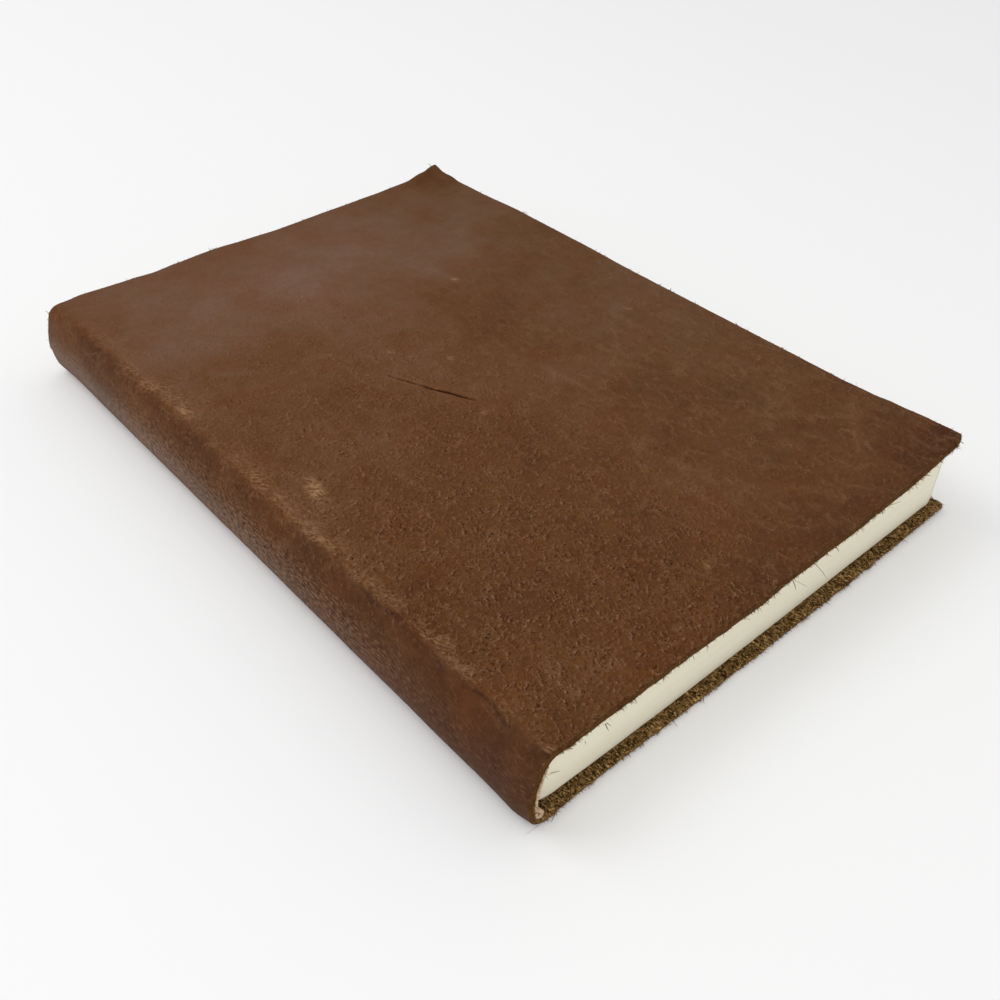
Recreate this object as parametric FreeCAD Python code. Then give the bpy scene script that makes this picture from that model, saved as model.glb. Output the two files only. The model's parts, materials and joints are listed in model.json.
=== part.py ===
import FreeCAD, Part
import math
import os

# A soft-cover notebook: one wrap of thin, raw-cut leather round a block of pages.
# +X runs from the spine to the fore-edge, +Y from the tail to the head, +Z is up.
# The origin is the middle of the back cover's flat underside. Millimetres and degrees.

# Page block
page_width = 149.0
page_height = 210.0
block_thickness = 19.0
block_heel_radius = 9.0        # rounding of the block's lower spine corner

# Leather wrap
leather_thickness = 1.2
tail_overhang = 3.2
head_overhang = 3.1
fore_overhang = 2.3
corner_radius = 1.4            # worn corners of the covers, seen from above
shoulder_radius = 5.0          # outside of the fold between the spine and the front cover
heel_radius = 5.0              # outside of the fold between the spine and the back cover
spine_arc_radius = 20.0        # roundness of the spine
bulge_height = 9.3             # height of the spine's outermost line above the table

# Spine lining
lining_thickness = 0.6
lining_tail_overhang = 3.0     # how far the lining runs past the pages at the tail
lining_hook_radius = 0.5       # inside of the lining's turned-in edge
lining_lip = 2.0               # how far the turned-in edge runs back up the pages

# Clearances
glue_gap = 0.1                 # leather to lining, and lining to pages
cover_gap = 0.3                # pages to each cover

# The cover's soft forms. Each is a rise or a dip: its place as a share of the cover's
# width and height, its height, and how far it reaches across and along.
soft_forms = (
    # across, along, height, reach across, reach along
    (1.00, 0.00, 2.6, 20.0, 20.0),      # tail corner, lifted
    (1.00, 1.00, 3.3, 9.0, 5.0),        # head corner, lifted at its tip
    (1.00, 0.70, 0.9, 14.0, 32.0),      # fore-edge, towards the head
    (1.00, 0.32, 0.6, 12.0, 46.0),      # fore-edge, towards the tail
    (0.07, 1.00, 1.0, 12.0, 16.0),      # head edge beside the spine
    (0.38, 1.00, 0.7, 13.0, 12.0),      # head edge, first wave
    (0.80, 1.00, 0.3, 20.0, 12.0),      # head edge, second wave
    (0.05, 0.00, 0.4, 9.0, 14.0),       # tail edge beside the spine
)
lift_fade = 6.0                         # how far from the shoulder fold the forms come in
steps_across = 20                       # points that carry the soft surface
steps_along = 30

# Places that follow from the sizes above
pages_inset = leather_thickness + lining_thickness + 2 * glue_gap
cover_width = pages_inset + page_width + fore_overhang
spine_x = -cover_width / 2
fore_x = cover_width / 2
pages_fore_x = fore_x - fore_overhang
cover_height = tail_overhang + page_height + head_overhang
tail_y = -cover_height / 2
head_y = cover_height / 2
pages_tail_y = tail_y + tail_overhang
pages_head_y = head_y - head_overhang
block_bottom_z = leather_thickness + cover_gap
block_top_z = block_bottom_z + block_thickness
cover_top_z = block_top_z + cover_gap + leather_thickness
trim_reach = 2 * cover_top_z        # how far the covers' trimming block reaches up and down

# The spine's section is three arcs: the heel fold, the round of the spine, the shoulder
# fold. Every layer under the leather's outside has the same three centres.
spine_centre = (spine_x + spine_arc_radius, bulge_height)


def fold_centre(radius, arc_radius, z):
    """Centre at height z of a fold that touches a round of arc_radius from the inside."""
    rise = z - spine_centre[1]
    return (spine_centre[0] - math.sqrt((arc_radius - radius) ** 2 - rise ** 2), z)


def bearing(start, end):
    """Direction from start to end in degrees, from +X towards +Z, 0 to 360."""
    return math.degrees(math.atan2(end[1] - start[1], end[0] - start[0])) % 360


shoulder_centre = fold_centre(shoulder_radius, spine_arc_radius, cover_top_z - shoulder_radius)
heel_centre = fold_centre(heel_radius, spine_arc_radius, heel_radius)
shoulder_start = bearing(spine_centre, shoulder_centre)
heel_start = bearing(spine_centre, heel_centre)
shoulder_cut = (shoulder_start + 90) / 2        # the hinge lines lie in the middle of the folds
heel_cut = (heel_start + 270) / 2
pages_round = spine_arc_radius - pages_inset
block_heel_centre = fold_centre(block_heel_radius, pages_round, block_bottom_z + block_heel_radius)


def polar(centre, radius, angle):
    """Point of a circle in the section plane, as (x, z)."""
    turn = math.radians(angle)
    return (centre[0] + radius * math.cos(turn), centre[1] + radius * math.sin(turn))


def lower_meeting(centre_a, radius_a, centre_b, radius_b):
    """The lower of the two points where two circles of the section plane meet."""
    across = centre_b[0] - centre_a[0]
    up = centre_b[1] - centre_a[1]
    apart = math.hypot(across, up)
    along = (radius_a ** 2 - radius_b ** 2 + apart ** 2) / (2 * apart)
    aside = math.sqrt(radius_a ** 2 - along ** 2)
    foot = (centre_a[0] + along * across / apart, centre_a[1] + along * up / apart)
    meetings = [(foot[0] - side * up / apart, foot[1] + side * across / apart)
                for side in (aside, -aside)]
    return min(meetings, key=lambda point: point[1])


def at(point):
    """Section point (x, z) as a vector in the plane y = 0."""
    return FreeCAD.Vector(point[0], 0, point[1])


def arc(centre, radius, start, end):
    """Edge along a circle in the section plane, from one bearing to another."""
    bearings = (start, (start + end) / 2, end)
    return Part.Arc(*[at(polar(centre, radius, b)) for b in bearings]).toShape()


def line(start, end):
    """Straight edge in the section plane."""
    return Part.makeLine(at(start), at(end))


def prism(edges, start_y, end_y):
    """Solid with a closed section of edges, from start_y to end_y."""
    face = Part.Face(Part.Wire(edges))
    face.translate(FreeCAD.Vector(0, start_y, 0))
    return face.extrude(FreeCAD.Vector(0, end_y - start_y, 0))


def cover_outline():
    """Upright block over the covers' cut outline, with worn corners at the fore-edge. It
    reaches far below and above the covers, which are trimmed with it."""
    block = Part.makeBox(cover_width, cover_height, 2 * trim_reach,
                         FreeCAD.Vector(spine_x, tail_y, -trim_reach))
    corners = [edge for edge in block.Edges
               if edge.BoundBox.ZLength > trim_reach
               and edge.BoundBox.XMin > fore_x - corner_radius]
    return block.makeFillet(corner_radius, corners)


def make_page_block():
    """The pages, trimmed square, with the round of the spine along one side."""
    corner = shoulder_radius - pages_inset
    corner_centre = fold_centre(corner, pages_round, block_top_z - corner)
    corner_start = bearing(spine_centre, corner_centre)
    heel_end = bearing(spine_centre, block_heel_centre)
    edges = [
        arc(block_heel_centre, block_heel_radius, 270, heel_end),
        arc(spine_centre, pages_round, heel_end, corner_start),
        arc(corner_centre, corner, corner_start, 90),
        line((corner_centre[0], block_top_z), (pages_fore_x, block_top_z)),
        line((pages_fore_x, block_top_z), (pages_fore_x, block_bottom_z)),
        line((pages_fore_x, block_bottom_z), (block_heel_centre[0], block_bottom_z)),
    ]
    return prism(edges, pages_tail_y, pages_head_y)


def make_spine_leather():
    """The part of the leather wrap between the two hinge lines."""
    inner = leather_thickness
    edges = [
        arc(heel_centre, heel_radius, heel_cut, heel_start),
        arc(spine_centre, spine_arc_radius, heel_start, shoulder_start),
        arc(shoulder_centre, shoulder_radius, shoulder_start, shoulder_cut),
        line(polar(shoulder_centre, shoulder_radius, shoulder_cut),
             polar(shoulder_centre, shoulder_radius - inner, shoulder_cut)),
        arc(shoulder_centre, shoulder_radius - inner, shoulder_cut, shoulder_start),
        arc(spine_centre, spine_arc_radius - inner, shoulder_start, heel_start),
        arc(heel_centre, heel_radius - inner, heel_start, heel_cut),
        line(polar(heel_centre, heel_radius - inner, heel_cut),
             polar(heel_centre, heel_radius, heel_cut)),
    ]
    return prism(edges, tail_y, head_y)


def make_back_cover():
    """The flat of the leather under the pages, with its half of the heel fold."""
    inner = leather_thickness
    edges = [
        arc(heel_centre, heel_radius, heel_cut, 270),
        line((heel_centre[0], 0), (fore_x, 0)),
        line((fore_x, 0), (fore_x, inner)),
        line((fore_x, inner), (heel_centre[0], inner)),
        arc(heel_centre, heel_radius - inner, 270, heel_cut),
        line(polar(heel_centre, heel_radius - inner, heel_cut),
             polar(heel_centre, heel_radius, heel_cut)),
    ]
    return prism(edges, tail_y, head_y).common(cover_outline())


def lift(x, y):
    """Height of the soft front cover above its plane. It is nothing at the shoulder fold."""
    total = 0.0
    for across, along, height, reach_across, reach_along in soft_forms:
        off_x = (x - (spine_x + across * cover_width)) / reach_across
        off_y = (y - (tail_y + along * cover_height)) / reach_along
        total += height * math.exp(-off_x ** 2 - off_y ** 2)
    fade = min(1.0, max(0.0, (x - shoulder_centre[0]) / lift_fade))
    return total * fade * fade * (3 - 2 * fade)


def soft_face(z):
    """Smooth face over the covers' outline, from the shoulder fold, lifted off a level."""
    rows = []
    for i in range(steps_across + 1):
        x = shoulder_centre[0] + (fore_x - shoulder_centre[0]) * i / steps_across
        row = []
        for j in range(steps_along + 1):
            y = tail_y + cover_height * j / steps_along
            row.append(FreeCAD.Vector(x, y, z + lift(x, y)))
        rows.append(row)
    surface = Part.BSplineSurface()
    surface.interpolate(rows)
    return surface.toShape()


def nearest_edge(face, axis, place):
    """The edge of a face whose middle lies nearest a place along X (0) or Y (1)."""
    return min(face.Edges, key=lambda edge: abs(edge.CenterOfMass[axis] - place))


def make_front_cover():
    """The leather over the pages, soft and lifted at its corners, with its half of the fold."""
    inner = leather_thickness
    outside = soft_face(cover_top_z)
    inside = soft_face(cover_top_z - inner)
    faces = [outside, inside]
    for axis, place in ((0, shoulder_centre[0]), (0, fore_x), (1, tail_y), (1, head_y)):
        faces.append(Part.makeRuledSurface(nearest_edge(outside, axis, place),
                                           nearest_edge(inside, axis, place)))
    shell = Part.makeShell(faces)
    shell.sewShape()
    sheet = Part.makeSolid(shell).common(cover_outline())
    fold = prism([
        arc(shoulder_centre, shoulder_radius, shoulder_cut, 90),
        line(polar(shoulder_centre, shoulder_radius, 90),
             polar(shoulder_centre, shoulder_radius - inner, 90)),
        arc(shoulder_centre, shoulder_radius - inner, 90, shoulder_cut),
        line(polar(shoulder_centre, shoulder_radius - inner, shoulder_cut),
             polar(shoulder_centre, shoulder_radius, shoulder_cut)),
    ], tail_y, head_y)
    return sheet.fuse(fold).removeSplitter()


def make_spine_lining():
    """The strip inside the spine leather. Its lower edge turns in and up against the pages."""
    outside = spine_arc_radius - leather_thickness - glue_gap
    inside = outside - lining_thickness
    turn_outside = lining_hook_radius + lining_thickness
    pages_side = block_heel_radius + glue_gap
    turn = lower_meeting(spine_centre, outside - turn_outside,
                         block_heel_centre, pages_side + turn_outside)
    turn_start = bearing(spine_centre, turn)
    turn_end = bearing(turn, block_heel_centre) + 360
    lip_start = turn_end - 180
    lip_end = lip_start - math.degrees(lining_lip / pages_side)
    edges = [
        arc(spine_centre, outside, shoulder_start, turn_start),
        arc(turn, turn_outside, turn_start, turn_end),
        arc(block_heel_centre, pages_side, lip_start, lip_end),
        line(polar(block_heel_centre, pages_side, lip_end),
             polar(block_heel_centre, pages_side + lining_thickness, lip_end)),
        arc(block_heel_centre, pages_side + lining_thickness, lip_end, lip_start),
        arc(turn, lining_hook_radius, turn_end, turn_start),
        arc(spine_centre, inside, turn_start, shoulder_start),
        line(polar(spine_centre, inside, shoulder_start),
             polar(spine_centre, outside, shoulder_start)),
    ]
    return prism(edges, pages_tail_y - lining_tail_overhang, pages_head_y)


def main():
    nodes = {
        "page_block": make_page_block(),
        "spine_leather": make_spine_leather(),
        "spine_lining": make_spine_lining(),
        "front_cover": make_front_cover(),
        "back_cover": make_back_cover(),
    }
    os.makedirs("parts", exist_ok=True)
    for name, shape in nodes.items():
        shape.exportStep(f"parts/{name}.step")
        box = shape.BoundBox
        print(f"{name}: valid {shape.isValid()}, solids {len(shape.Solids)}, "
              f"volume {shape.Volume:.0f} mm3, "
              f"x {box.XMin:.2f} {box.XMax:.2f}, y {box.YMin:.2f} {box.YMax:.2f}, "
              f"z {box.ZMin:.2f} {box.ZMax:.2f}")
    for label, centre, radius, turn in (("shoulder", shoulder_centre, shoulder_radius, shoulder_cut),
                                        ("heel", heel_centre, heel_radius, heel_cut)):
        x, z = polar(centre, radius, turn)
        print(f"{label} hinge line: x {x:.3f}, z {z:.3f}")


main()
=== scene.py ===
import json
import math

import bpy
import numpy as np
from mathutils import Matrix, Vector


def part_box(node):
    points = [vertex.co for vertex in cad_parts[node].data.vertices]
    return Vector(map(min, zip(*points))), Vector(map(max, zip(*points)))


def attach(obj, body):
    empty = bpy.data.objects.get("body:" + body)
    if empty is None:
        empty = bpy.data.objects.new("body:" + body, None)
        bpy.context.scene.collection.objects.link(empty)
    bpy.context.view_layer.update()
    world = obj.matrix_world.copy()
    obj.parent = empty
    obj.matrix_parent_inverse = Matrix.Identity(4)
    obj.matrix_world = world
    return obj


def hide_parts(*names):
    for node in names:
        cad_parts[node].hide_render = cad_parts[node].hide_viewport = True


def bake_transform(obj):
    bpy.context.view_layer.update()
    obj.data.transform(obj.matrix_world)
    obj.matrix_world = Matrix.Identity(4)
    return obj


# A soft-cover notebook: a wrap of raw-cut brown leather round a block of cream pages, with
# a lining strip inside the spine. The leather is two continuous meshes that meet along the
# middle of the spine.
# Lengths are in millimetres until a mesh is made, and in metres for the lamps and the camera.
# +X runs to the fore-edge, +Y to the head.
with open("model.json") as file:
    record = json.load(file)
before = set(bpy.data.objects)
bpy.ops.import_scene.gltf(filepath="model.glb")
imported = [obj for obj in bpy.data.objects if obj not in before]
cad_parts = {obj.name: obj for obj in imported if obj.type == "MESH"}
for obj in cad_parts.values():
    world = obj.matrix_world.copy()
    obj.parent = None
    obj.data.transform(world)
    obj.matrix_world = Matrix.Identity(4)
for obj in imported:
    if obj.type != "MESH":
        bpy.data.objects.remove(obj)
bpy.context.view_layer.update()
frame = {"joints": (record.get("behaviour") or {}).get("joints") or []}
MM = 0.001

# ---------------- sizes

LEATHER = 1.2               # thickness of the wrap
SPINE_RADIUS = 20.0         # roundness of the spine
FOLD_RADIUS = 5.0           # outside of the two folds beside the spine
BULGE_HEIGHT = 9.3          # height of the spine's outermost line
GLUE_GAP = 0.1              # leather to lining, and lining to pages
COVER_GAP = 0.3             # pages to each cover
LINING = 0.6                # thickness of the lining strip
LINING_HOOK = 0.5           # inside of the lining's turned-in edge
LINING_LIP = 2.0            # how far that edge runs back up the pages
BLOCK_HEEL_RADIUS = 9.0     # rounding of the block's lower spine corner
CORNER_RADIUS = 1.4         # worn corners of the covers
FRONT_TAIL_RADIUS = 2.4     # the front cover's corner at the tail is worn rounder
HINGE_REACH = 1.6           # the leather bends this far each side of a hinge line
CUT_REACH = 6.0             # a cut edge's large wander runs this far into the leather
RIM_REACH = 0.5             # its small wander and its rolled rim run this far
EDGE_REACH = 0.6            # worn tints and fibres show this far from a cut
ROLLED = 0.62               # share of the thickness that rolls over the cut
THROUGH = np.array([0, 0.12, 0.35, ROLLED, 0.86, 1])  # layers through the thickness
UV_SHIFT = 200.0            # keeps the hide's own coordinates above zero


def box_mm(node):
    """Lowest and highest corner of a CAD node, in millimetres."""
    low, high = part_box(node)
    return np.array(low) / MM, np.array(high) / MM


pages_low, pages_high = box_mm("page_block")
_, back_high = box_mm("back_cover")
spine_low, _ = box_mm("spine_leather")
SPINE_X, TAIL_Y = spine_low[0], spine_low[1]
FORE_X, HEAD_Y = back_high[0], back_high[1]
COVER_Z = pages_high[2] + COVER_GAP + LEATHER
PAGES_INSET = LEATHER + LINING + 2 * GLUE_GAP
PAGES_ROUND = SPINE_RADIUS - PAGES_INSET
SPINE_CENTRE = (SPINE_X + SPINE_RADIUS, BULGE_HEIGHT)
HINGES = {joint["name"]: np.array(joint["pos_m"]) for joint in frame["joints"]}

# ---------------- arithmetic


def smooth(start, end, value):
    """0 before start, 1 after end, and an even curve between."""
    share = np.clip((value - start) / (end - start), 0, 1)
    return share * share * (3 - 2 * share)


def fade(start, end, value):
    """1 before start, 0 after end, and an even curve between."""
    return 1 - smooth(start, end, value)


def hump(value, centre, reach):
    """Bell curve of height 1."""
    return np.exp(-((value - centre) / reach) ** 2)


def curve(points, value):
    """Curve through a few (place, height) points, level at each of them and beyond the ends."""
    places, heights = np.array(points, float).T
    index = np.clip(np.searchsorted(places, value) - 1, 0, len(places) - 2)
    share = smooth(places[index], places[index + 1], value)
    return heights[index] * (1 - share) + heights[index + 1] * share


def noise(a, b, size, seed):
    """Smooth noise from -1 to 1 with lumps about one size across."""
    rows, columns = 97, 89
    table = np.random.default_rng(seed).uniform(-1, 1, (rows, columns))
    a, b = np.broadcast_arrays(np.asarray(a, float) / size, np.asarray(b, float) / size)
    i, j = np.floor(a).astype(int), np.floor(b).astype(int)
    p, q = smooth(0, 1, a - i), smooth(0, 1, b - j)

    def corner(di, dj):
        return table[(i + di) % rows, (j + dj) % columns]

    return ((corner(0, 0) * (1 - p) + corner(1, 0) * p) * (1 - q)
            + (corner(0, 1) * (1 - p) + corner(1, 1) * p) * q)


def noises(a, b, *layers):
    """Several noises together, each an (amount, size, seed)."""
    return sum(amount * noise(a, b, size, seed) for amount, size, seed in layers)


def graded(*stops):
    """Places from the first stop to the last, with the spacing that each (place, spacing) asks."""
    places, gaps = np.array(stops, float).T
    fine = np.linspace(places[0], places[-1], 4000)
    count = np.concatenate([[0], np.cumsum(np.diff(fine) / np.interp(fine[1:], places, gaps))])
    return np.interp(np.linspace(0, count[-1], int(round(count[-1])) + 1), count, fine)


def beside_line(x, y, start, way):
    """Distance along a line from its start, and distance to the right of it."""
    along = (x - start[0]) * way[0] + (y - start[1]) * way[1]
    off = (x - start[0]) * way[1] - (y - start[1]) * way[0]
    return along, off


def fold_centre(radius, arc_radius, z):
    """Centre at height z of a fold that touches a round of arc_radius from the inside."""
    rise = z - SPINE_CENTRE[1]
    return (SPINE_CENTRE[0] - math.sqrt((arc_radius - radius) ** 2 - rise ** 2), z)


def bearing(start, end):
    """Direction from start to end in degrees, from +X towards +Z, 0 to 360."""
    return math.degrees(math.atan2(end[1] - start[1], end[0] - start[0])) % 360


def lower_meeting(centre_a, radius_a, centre_b, radius_b):
    """The lower of the two points where two circles meet."""
    across, up = centre_b[0] - centre_a[0], centre_b[1] - centre_a[1]
    apart = math.hypot(across, up)
    along = (radius_a ** 2 - radius_b ** 2 + apart ** 2) / (2 * apart)
    aside = math.sqrt(radius_a ** 2 - along ** 2)
    foot = (centre_a[0] + along * across / apart, centre_a[1] + along * up / apart)
    meetings = [(foot[0] - side * up / apart, foot[1] + side * across / apart)
                for side in (aside, -aside)]
    return min(meetings, key=lambda point: point[1])


def arc(centre, radius, start, end, step=0.04):
    """Points along an arc in the section plane."""
    count = max(3, int(abs(math.radians(end - start)) * radius / step))
    turn = np.radians(np.linspace(start, end, count))
    return np.stack([centre[0] + radius * np.cos(turn), centre[1] + radius * np.sin(turn)], 1)


class Path:
    """A line in the section plane. hand is 1 if outside lies left of the way along it, else -1:
    1 for the wrap's front half and -1 for its back half."""

    def __init__(self, hand, *parts):
        points = np.concatenate(parts)
        steps = np.linalg.norm(np.diff(points, axis=0), axis=1)
        keep = np.concatenate([[True], steps > 1e-6])
        self.points = points[keep]
        self.s = np.concatenate([[0], np.cumsum(steps[keep[1:]])])
        ways = np.gradient(self.points, self.s, axis=0)
        ways /= np.linalg.norm(ways, axis=1)[:, None]
        self.normals = hand * np.stack([-ways[:, 1], ways[:, 0]], 1)
        self.length = self.s[-1]
        self.hand = hand

    def at(self, s):
        """x, z and the outward normal's x and z at each distance along the line."""
        columns = np.hstack([self.points, self.normals]).T
        return [np.interp(s, self.s, column) for column in columns]

    def flat_x(self, s):
        """x at each distance along the line, true where the cover lies flat."""
        return s - self.length + FORE_X


SHOULDER = fold_centre(FOLD_RADIUS, SPINE_RADIUS, COVER_Z - FOLD_RADIUS)
HEEL = fold_centre(FOLD_RADIUS, SPINE_RADIUS, FOLD_RADIUS)
SHOULDER_START = bearing(SPINE_CENTRE, SHOULDER)
HEEL_START = bearing(SPINE_CENTRE, HEEL)
BLOCK_HEEL = fold_centre(BLOCK_HEEL_RADIUS, PAGES_ROUND, pages_low[2] + BLOCK_HEEL_RADIUS)

front_path = Path(1, arc(SPINE_CENTRE, SPINE_RADIUS, 180, SHOULDER_START),
                  arc(SHOULDER, FOLD_RADIUS, SHOULDER_START, 90),
                  [[FORE_X, COVER_Z]])
back_path = Path(-1, arc(SPINE_CENTRE, SPINE_RADIUS, 180, HEEL_START),
                 arc(HEEL, FOLD_RADIUS, HEEL_START, 270),
                 [[FORE_X, 0]])
# Distances from the middle of the spine to where each fold starts, ends and has its hinge
SHOULDER_S = math.radians(180 - SHOULDER_START) * SPINE_RADIUS
HEEL_S = math.radians(HEEL_START - 180) * SPINE_RADIUS
TOP_S = SHOULDER_S + math.radians(SHOULDER_START - 90) * FOLD_RADIUS
BASE_S = HEEL_S + math.radians(270 - HEEL_START) * FOLD_RADIUS
FRONT_HINGE_S = (SHOULDER_S + TOP_S) / 2
BACK_HINGE_S = (HEEL_S + BASE_S) / 2

# ---------------- meshes


def new_object(name, data):
    """A new object in the scene."""
    thing = bpy.data.objects.new(name, data)
    bpy.context.scene.collection.objects.link(thing)
    return thing


def make_object(name, points, faces, materials, sides=None, uv=None, fields=None, body=None):
    """Mesh object from points in millimetres and faces of like size, with a material's number
    per face in sides, a UV map in metres and named point fields."""
    mesh = bpy.data.meshes.new(name)
    mesh.vertices.add(len(points))
    mesh.vertices.foreach_set("co", (points * MM).astype(np.float32).ravel())
    mesh.loops.add(faces.size)
    mesh.loops.foreach_set("vertex_index", faces.astype(np.int32).ravel())
    mesh.polygons.add(len(faces))
    starts = np.arange(0, faces.size, faces.shape[1], dtype=np.int32)
    mesh.polygons.foreach_set("loop_start", starts)
    mesh.polygons.foreach_set("use_smooth", np.ones(len(faces), bool))
    for material in materials:
        mesh.materials.append(material)
    if sides is not None:
        mesh.polygons.foreach_set("material_index", sides.astype(np.int32))
    mesh.update(calc_edges=True)
    if uv is not None:
        layer = mesh.uv_layers.new(name="UVMap")
        layer.data.foreach_set("uv", (uv[faces.ravel()] * MM).astype(np.float32).ravel())
    for field, values in (fields or {}).items():
        attribute = mesh.attributes.new(field, "FLOAT", "POINT")
        attribute.data.foreach_set("value", values.astype(np.float32))
    mesh.validate()
    thing = new_object(name, mesh)
    if body:
        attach(thing, body)
    return thing


def lattice(us, vs, ws):
    """The outside of a block of lattice points: each point's u, v, w, the quads, and each
    quad's side: 0 and 1 for the first and last w, 2 for all that closes the block."""
    shape = (len(us), len(vs), len(ws))
    inside = np.zeros(shape, bool)
    inside[1:-1, 1:-1, 1:-1] = True
    number = np.full(shape, -1)
    number[~inside] = np.arange((~inside).sum())
    grid = np.stack(np.meshgrid(us, vs, ws, indexing="ij"), -1)[~inside]
    quads, sides = [], []
    for axis, end, flip, side in ((2, 0, True, 0), (2, -1, False, 1), (0, 0, True, 2),
                                  (0, -1, False, 2), (1, 0, False, 2), (1, -1, True, 2)):
        face = number.take(end, axis)
        a, b, c, d = face[:-1, :-1], face[1:, :-1], face[1:, 1:], face[:-1, 1:]
        loop = (a, d, c, b) if flip else (a, b, c, d)
        quads.append(np.stack([part.ravel() for part in loop], 1))
        sides.append(np.full(a.size, side))
    return grid.T, np.concatenate(quads), np.concatenate(sides)


# ---------------- the leather's form

# How far the cut edges run past the CAD outline (plus) or stop short of it (minus):
# the tail edge by x, the fore-edge by y
front_tail_forms = ((-76, 0.15), (-66, 0.05), (-58, -0.2), (-50, -0.3), (-30, -0.15), (-10, 0.05),
                    (20, 0.25), (50, 0.15), (70, -0.1), (76.65, -0.8))
back_tail_forms = ((-76, 0.05), (-60, -0.25), (-45, -0.2), (-30, 0), (-10, 0.2), (20, 0.35),
                   (50, 0.25), (70, 0))
front_fore_forms = ((-108, -0.7), (-100, -0.2), (-80, 0.05), (0, 0), (85, 0), (98, -0.5), (108, -2))
back_fore_forms = ((-108, 0.5), (-100, 0.4), (-85, 0.1), (0, 0), (98, -0.2), (108, -0.6))
# Change of the back cover's thickness along its tail edge, and how far the pages' foot sags
# over it (minus is a rise), by x
back_thickness = ((-52, 0), (-45, -0.2), (-28, -0.45), (10, -0.45), (22, -0.3), (40, -0.12), (60, 0))
foot_sags = ((-73, -0.6), (-62, -0.4), (-54, 0), (-45, 0.3), (-28, 0.7), (10, 0.7), (22, 0.4),
             (40, 0.1), (60, 0))
# Height of the front cover above its plane along the fore-edge by y, along the head edge
# by x and, mostly for the corner, along the tail edge by x
fore_lifts = ((-108.15, 3.5), (-98, 2.75), (-87, 1.95), (-80, 1.3), (-70, 0.9), (-20, 0.8), (12, 0.85),
              (40, 1.15), (64, 1.15), (86, 0.45), (95, 0.65), (102, 1.6), (108.15, 3.9))
head_lifts = ((-76, 0.8), (-70, 1.3), (-66, 1.1), (-47, 0.4), (-40, 0), (-32, 0.4), (-18, 0.8),
              (-6, 0.35), (6, 0), (24, 0.2), (44, 0.3), (60, 0.8), (68, 2.3), (73, 3.6), (76.65, 3.9))
tail_lifts = ((-76, 0), (-68, 0.3), (-50, 0.05), (30, 0), (48, 0.5), (58, 1.5), (68, 2.5), (76.65, 3.5))
FORE_REACH, HEAD_REACH, TAIL_REACH = 14.0, 9.0, 17.0  # how far each lift runs into the cover
HEAD_TIP_REACH = 4.5        # reach of the head corner's curled tip
# How far the front cover's tail edge droops, by x
tail_droops = ((-76, 0.6), (-66, 0.9), (-58, 1.2), (-48, 1.7), (-38, 1.4), (-28, 1.3), (-16, 1.7),
               (-6, 1.5), (4, 0.5), (20, 0.1), (35, 0))
DROOP_REACH = 3.6           # how far the droop runs into the cover

# The scar: a shallow slit across the front cover, as (x, y) points
scar_points = np.array([(-18.5, 15.8), (-16.2, 10.2), (-15.0, 7.3), (-13.8, 4.4), (-12.5, 1.4),
                        (-10.9, -1.8), (-9.4, -5.1), (-8.3, -7.6), (-7.3, -9.8), (-5.9, -12.3)])
SCAR_WIDTH, SCAR_DEPTH = 0.44, 0.45
SCAR_LIP = 0.13             # height of its lips
SCAR_DEEPEST = 0.68         # the scar is deepest and widest at this share of its way
SCAR_GATHER = 0.68          # mesh lines move at most this share of their distance towards it
SCAR_START = scar_points[0]
SCAR_WAY = (scar_points[-1] - SCAR_START) / np.linalg.norm(scar_points[-1] - SCAR_START)

CREASE_TONE = 9             # a crease lightens the hide by this for each millimetre of height
# Faint veins and creases of the hide: start, end, height (minus is a groove)
creases = (
    ((18, -8), (21, -36), 0.05),
    ((11.5, -50), (13, -64), 0.05),
    ((28, -88), (36, -100), 0.05),
    ((34, -80), (70, -70), -0.025),
    ((52, -92), (72, -76), 0.06),
    ((44, -62), (66, -84), 0.05),
    ((30.4, 41.5), (28.8, 56.2), 0.05),
    ((-56, 46), (-40, 36), 0.04),
    ((-8, 20), (4, 36), -0.04),
    ((38, -20), (60, 2), 0.03),
)


def front_lift(x, y):
    """Height of the soft front cover above its plane."""
    in_fore = hump(x, FORE_X, FORE_REACH)
    in_head = hump(y, HEAD_Y, HEAD_REACH + (HEAD_TIP_REACH - HEAD_REACH) * smooth(55, 70, x))
    in_tail = hump(y, TAIL_Y, TAIL_REACH)
    head_corner, tail_corner = head_lifts[-1][1], tail_lifts[-1][1]
    lift = curve(fore_lifts, y) * in_fore
    lift += curve(head_lifts, x) * in_head
    lift += curve(tail_lifts, x) * in_tail
    lift -= head_corner * in_fore * in_head + tail_corner * in_fore * in_tail
    lift -= curve(tail_droops, x) * fade(TAIL_Y - 0.5, TAIL_Y + DROOP_REACH, y)
    return lift * smooth(SHOULDER[0] - 3, SHOULDER[0] + 6, x)


def scar_place(x, y):
    """Share of the way along the scar, and the distance from its line, for each point."""
    along, off = beside_line(x, y, SCAR_START, SCAR_WAY)
    marks, offs = beside_line(*scar_points.T, SCAR_START, SCAR_WAY)
    return along / marks[-1], off - curve(np.stack([marks, offs], 1), along)


def gather_at_scar(x, y):
    """How far to move each mesh line in x and y, so that they lie close together across the
    scar and its narrow walls have faces."""
    share, off = scar_place(x, y)
    pull = SCAR_GATHER * off * hump(off, 0, 4.5) * smooth(-0.25, 0, share) * fade(1, 1.25, share)
    return -pull * SCAR_WAY[1], pull * SCAR_WAY[0]


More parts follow.
